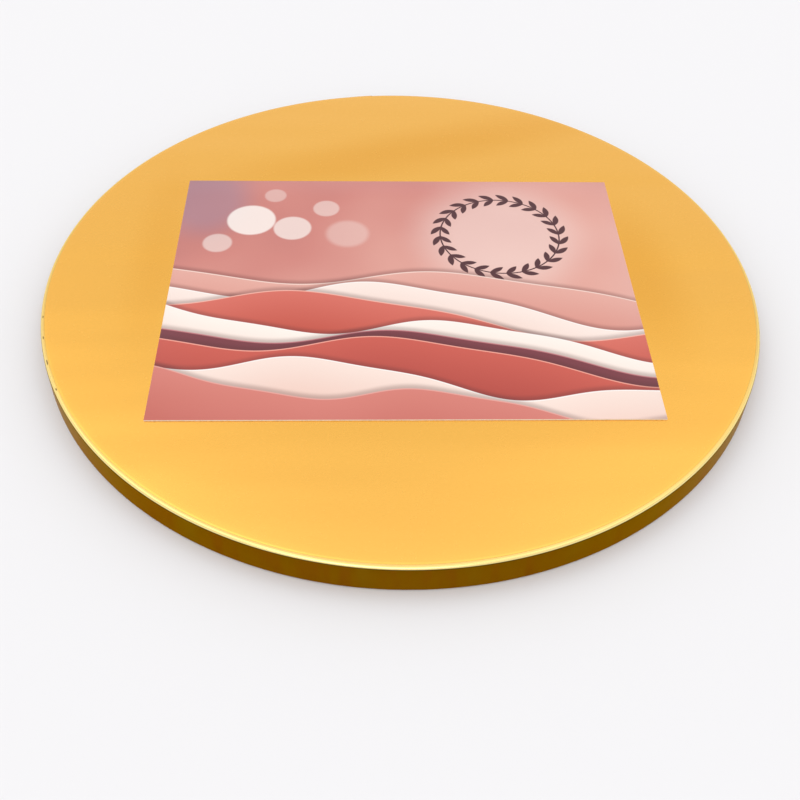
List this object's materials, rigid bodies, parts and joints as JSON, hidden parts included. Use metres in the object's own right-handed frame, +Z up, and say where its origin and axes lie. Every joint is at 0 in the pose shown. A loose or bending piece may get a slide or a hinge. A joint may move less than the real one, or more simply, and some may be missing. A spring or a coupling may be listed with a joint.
{
  "type": "cake board",
  "caption": "Round thick cake board wrapped in gold foil paper, with a smooth wall, small rounded shoulders and a printed card lying flat on its top face.",
  "frame": {"origin": "centre of the round underside, on the surface that the board stands on", "axes": "+Z up through the board's thickness, +X along the card's long side, +Y away from the viewer"},
  "size_m": [0.3048, 0.3048, 0.0136],
  "materials": {
    "gold_foil_board": "satin",
    "printed_card": "satin"
  },
  "bodies": {
    "root": {"board": "gold_foil_board", "label_card": "printed_card"}
  },
  "joints": []
}
